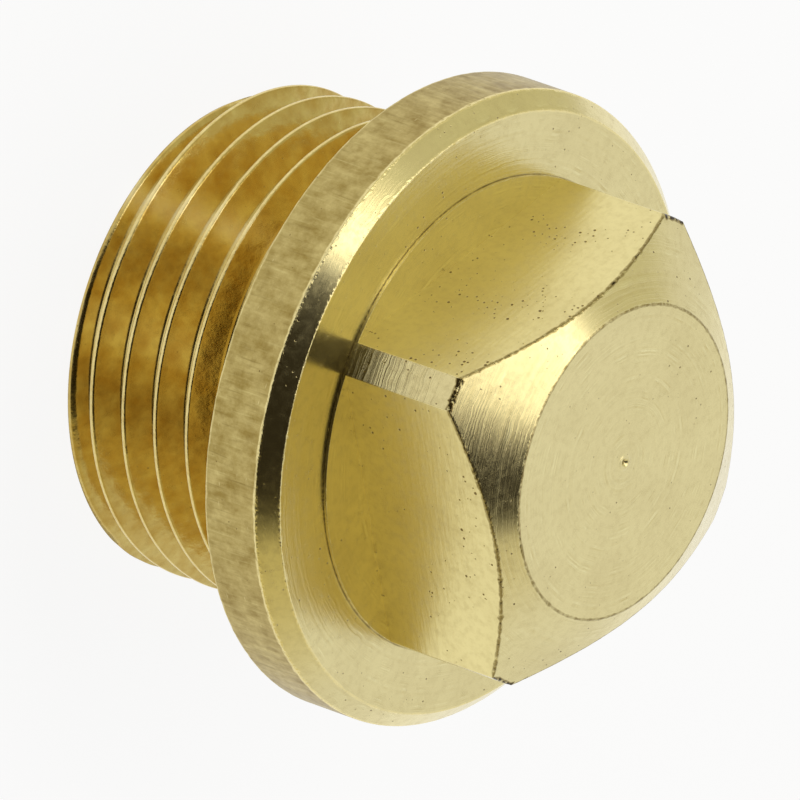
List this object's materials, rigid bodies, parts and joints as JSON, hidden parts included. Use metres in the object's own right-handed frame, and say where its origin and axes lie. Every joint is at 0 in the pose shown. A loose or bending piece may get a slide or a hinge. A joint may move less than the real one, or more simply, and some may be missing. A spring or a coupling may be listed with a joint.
{
  "type": "square head plug",
  "caption": "Brass screw plug with a square spanner head, a round sealing flange and a short right-hand parallel pipe thread; it closes a threaded port.",
  "frame": {"origin": "centre of the sealing face under the flange, on the plug's axis", "axes": "+Z along the plug's axis, out of the square head; X and Y are normal to the head's flats; the plug stands on the end of its thread"},
  "size_m": [0.0212, 0.0212, 0.0172],
  "materials": {
    "brass": "as machined, turned and milled"
  },
  "bodies": {
    "root": {"plug": "brass"}
  },
  "joints": []
}
